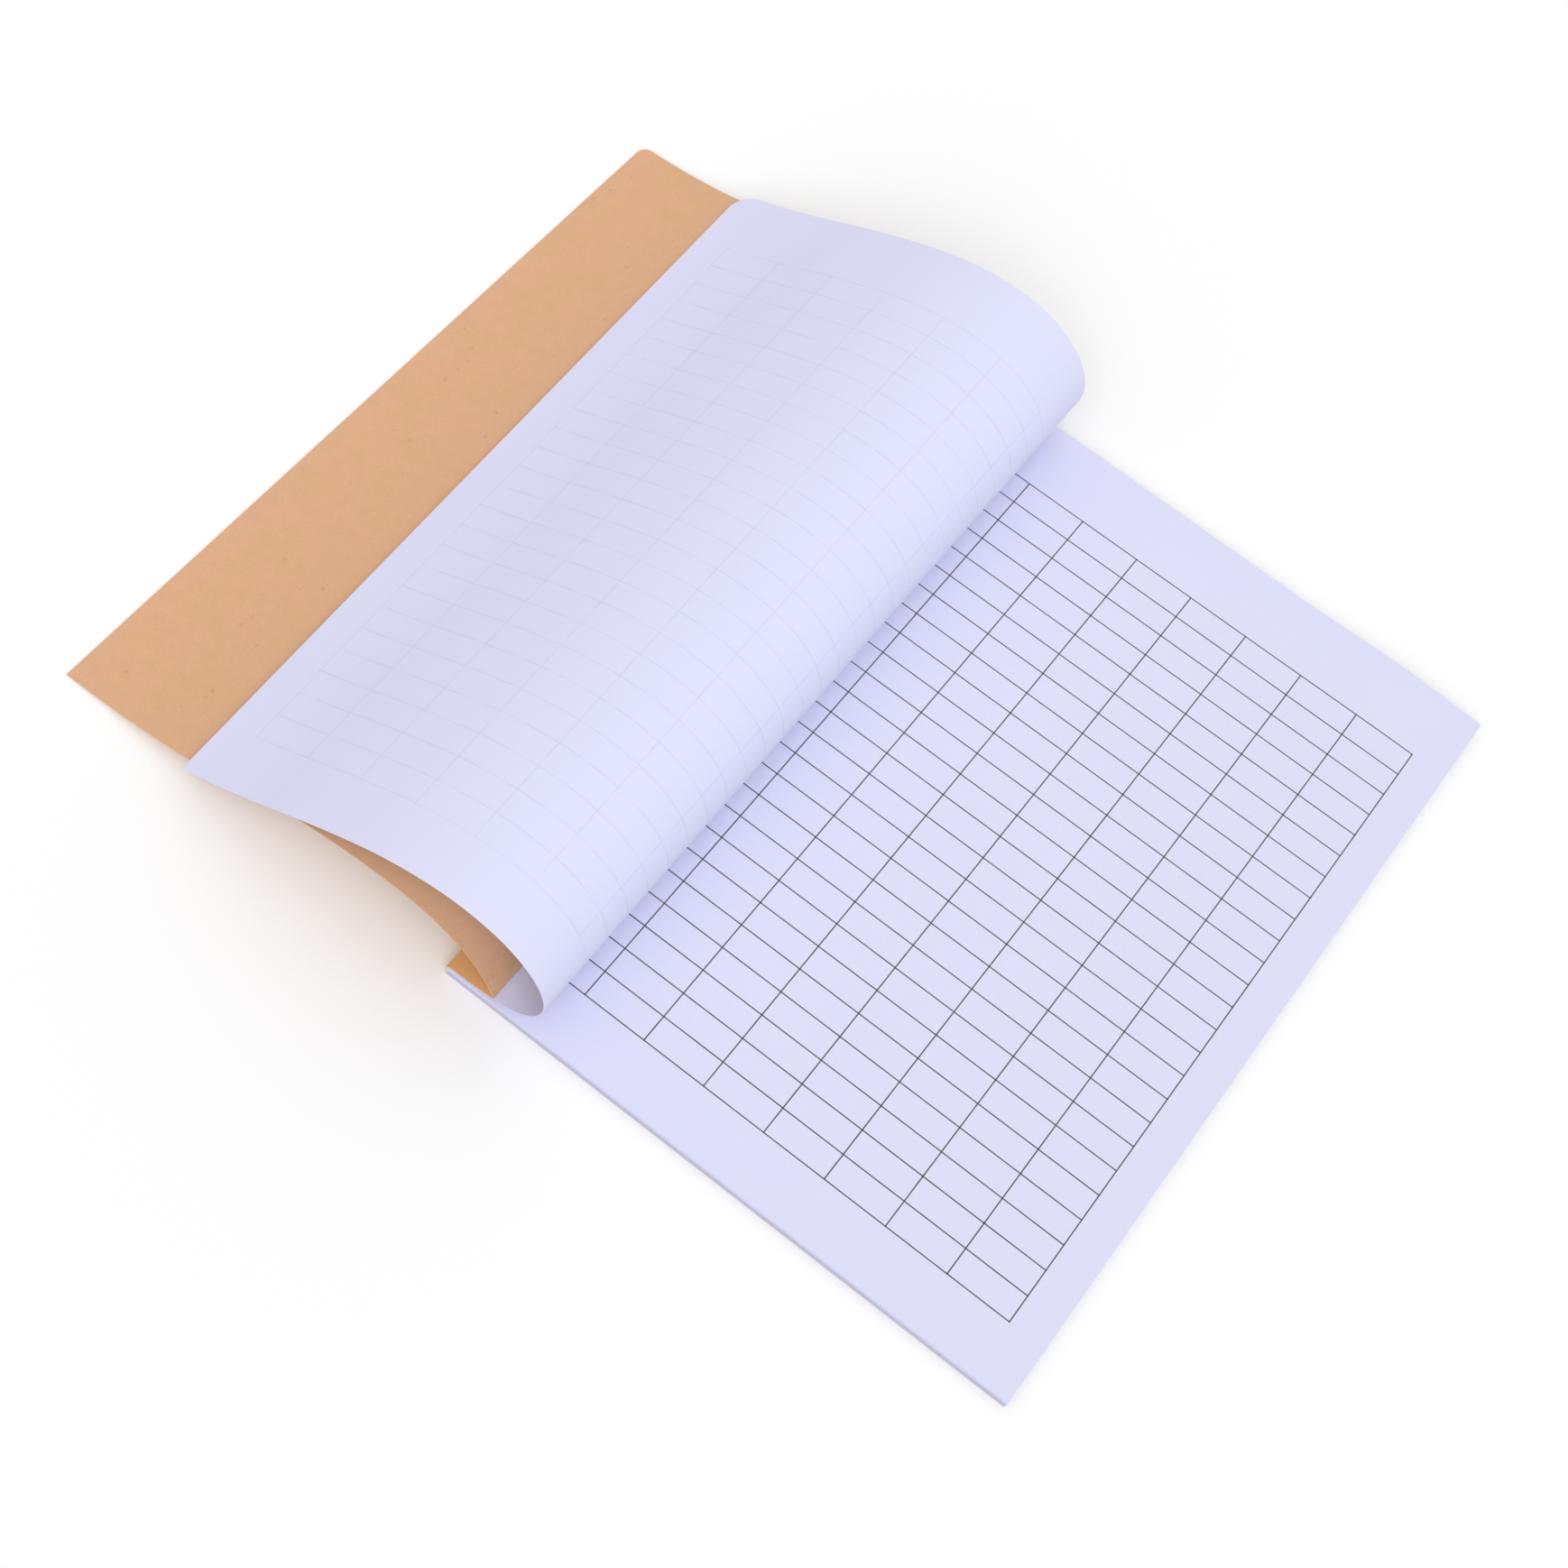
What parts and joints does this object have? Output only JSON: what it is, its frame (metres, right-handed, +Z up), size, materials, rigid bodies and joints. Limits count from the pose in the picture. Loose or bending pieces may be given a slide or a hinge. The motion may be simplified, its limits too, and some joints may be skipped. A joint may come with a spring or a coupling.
{
  "type": "ledger book",
  "caption": "Thin side-bound ledger lying open: kraft wrap cover folded back, first leaf curled over it, ruled leaves flat on the back cover.",
  "frame": {"origin": "centre of the back cover's underside", "axes": "+X from the spine to the fore-edge, +Y from the near edge to the far edge along the spine, +Z up out of the pages"},
  "size_m": [0.368, 0.297, 0.0538],
  "materials": {
    "ledger_paper": "smooth uncoated writing paper, faintly blue white",
    "kraft_card": "uncoated kraft card with fine fibres",
    "binding_glue": "dried binding adhesive"
  },
  "bodies": {
    "book_block": {"back_cover": "kraft_card", "spine_glue": "binding_glue", "leaf_02_margin": "ledger_paper", "leaf_03": "ledger_paper", "leaf_04": "ledger_paper", "leaf_05": "ledger_paper", "leaf_06": "ledger_paper", "leaf_07": "ledger_paper", "leaf_08": "ledger_paper", "leaf_09": "ledger_paper", "leaf_10": "ledger_paper", "leaf_11": "ledger_paper", "leaf_12": "ledger_paper", "leaf_13": "ledger_paper", "leaf_14": "ledger_paper", "leaf_15": "ledger_paper", "leaf_16": "ledger_paper", "leaf_17": "ledger_paper", "leaf_18": "ledger_paper", "leaf_19": "ledger_paper", "leaf_20": "ledger_paper", "leaf_21": "ledger_paper", "leaf_22": "ledger_paper", "leaf_23": "ledger_paper", "leaf_24": "ledger_paper", "leaf_25": "ledger_paper", "leaf_26": "ledger_paper", "leaf_27": "ledger_paper", "leaf_28": "ledger_paper", "leaf_29": "ledger_paper", "leaf_30": "ledger_paper", "leaf_31": "ledger_paper", "leaf_32": "ledger_paper", "leaf_33": "ledger_paper", "leaf_34": "ledger_paper", "leaf_35": "ledger_paper", "leaf_36": "ledger_paper", "leaf_37": "ledger_paper", "leaf_38": "ledger_paper", "leaf_39": "ledger_paper", "leaf_40": "ledger_paper"},
    "page_02": {"leaf_02_page": "ledger_paper"},
    "binding_flap": {"cover_binding_strip": "kraft_card", "leaf_01_1": "ledger_paper"},
    "front_cover_1": {"front_cover_1": "kraft_card"},
    "front_cover_2": {"front_cover_2": "kraft_card"},
    "front_cover_3": {"front_cover_3": "kraft_card"},
    "front_cover_4": {"front_cover_4": "kraft_card"},
    "leaf_01_2": {"leaf_01_2": "ledger_paper"},
    "leaf_01_3": {"leaf_01_3": "ledger_paper"},
    "leaf_01_4": {"leaf_01_4": "ledger_paper"}
  },
  "joints": [
    {"name": "binding_lift", "type": "hinge", "parent": "book_block", "child": "binding_flap", "pos_m": [-0.10485, 0, 0.00535], "axis": [0, 1, 0], "range_deg": [0, 9]},
    {"name": "cover_fold", "type": "hinge", "parent": "binding_flap", "child": "front_cover_1", "pos_m": [-0.08707, 0, 0.00817], "axis": [0, 1, 0], "range_deg": [0, 83.68]},
    {"name": "cover_bend_2", "type": "hinge", "parent": "front_cover_1", "child": "front_cover_2", "pos_m": [-0.10516, 0, 0.02872], "axis": [0, 1, 0], "range_deg": [0, 81.27]},
    {"name": "cover_bend_3", "type": "hinge", "parent": "front_cover_2", "child": "front_cover_3", "pos_m": [-0.12638, 0, 0.03362], "axis": [0, 1, 0], "range_deg": [0, 12.94]},
    {"name": "cover_bend_4", "type": "hinge", "parent": "front_cover_3", "child": "front_cover_4", "pos_m": [-0.16, 0, 0.02905], "axis": [0, 1, 0], "range_deg": [0, 6.29]},
    {"name": "leaf_bend_2", "type": "hinge", "parent": "binding_flap", "child": "leaf_01_2", "pos_m": [-0.07133, 0, 0.02038], "axis": [0, 1, 0], "range_deg": [0, 99.81]},
    {"name": "leaf_bend_3", "type": "hinge", "parent": "leaf_01_2", "child": "leaf_01_3", "pos_m": [-0.07767, 0, 0.04408], "axis": [0, 1, 0], "range_deg": [0, 45.06]},
    {"name": "leaf_bend_4", "type": "hinge", "parent": "leaf_01_3", "child": "leaf_01_4", "pos_m": [-0.11128, 0, 0.05335], "axis": [0, 1, 0], "range_deg": [0, 47.58]},
    {"name": "page_02_lift", "type": "hinge", "parent": "book_block", "child": "page_02", "pos_m": [-0.084, 0, 0.00494], "axis": [0, 1, 0], "range_deg": [-5, 0]}
  ],
  "couplings": [
    {"joint": "binding_lift", "follows": "cover_fold", "ratio": 0.10756},
    {"joint": "cover_bend_2", "follows": "cover_fold", "ratio": 0.97122},
    {"joint": "cover_bend_3", "follows": "cover_fold", "ratio": 0.15462},
    {"joint": "cover_bend_4", "follows": "cover_fold", "ratio": 0.075113},
    {"joint": "leaf_bend_2", "follows": "cover_fold", "ratio": 1.1929},
    {"joint": "leaf_bend_3", "follows": "cover_fold", "ratio": 0.53849},
    {"joint": "leaf_bend_4", "follows": "cover_fold", "ratio": 0.56866}
  ]
}
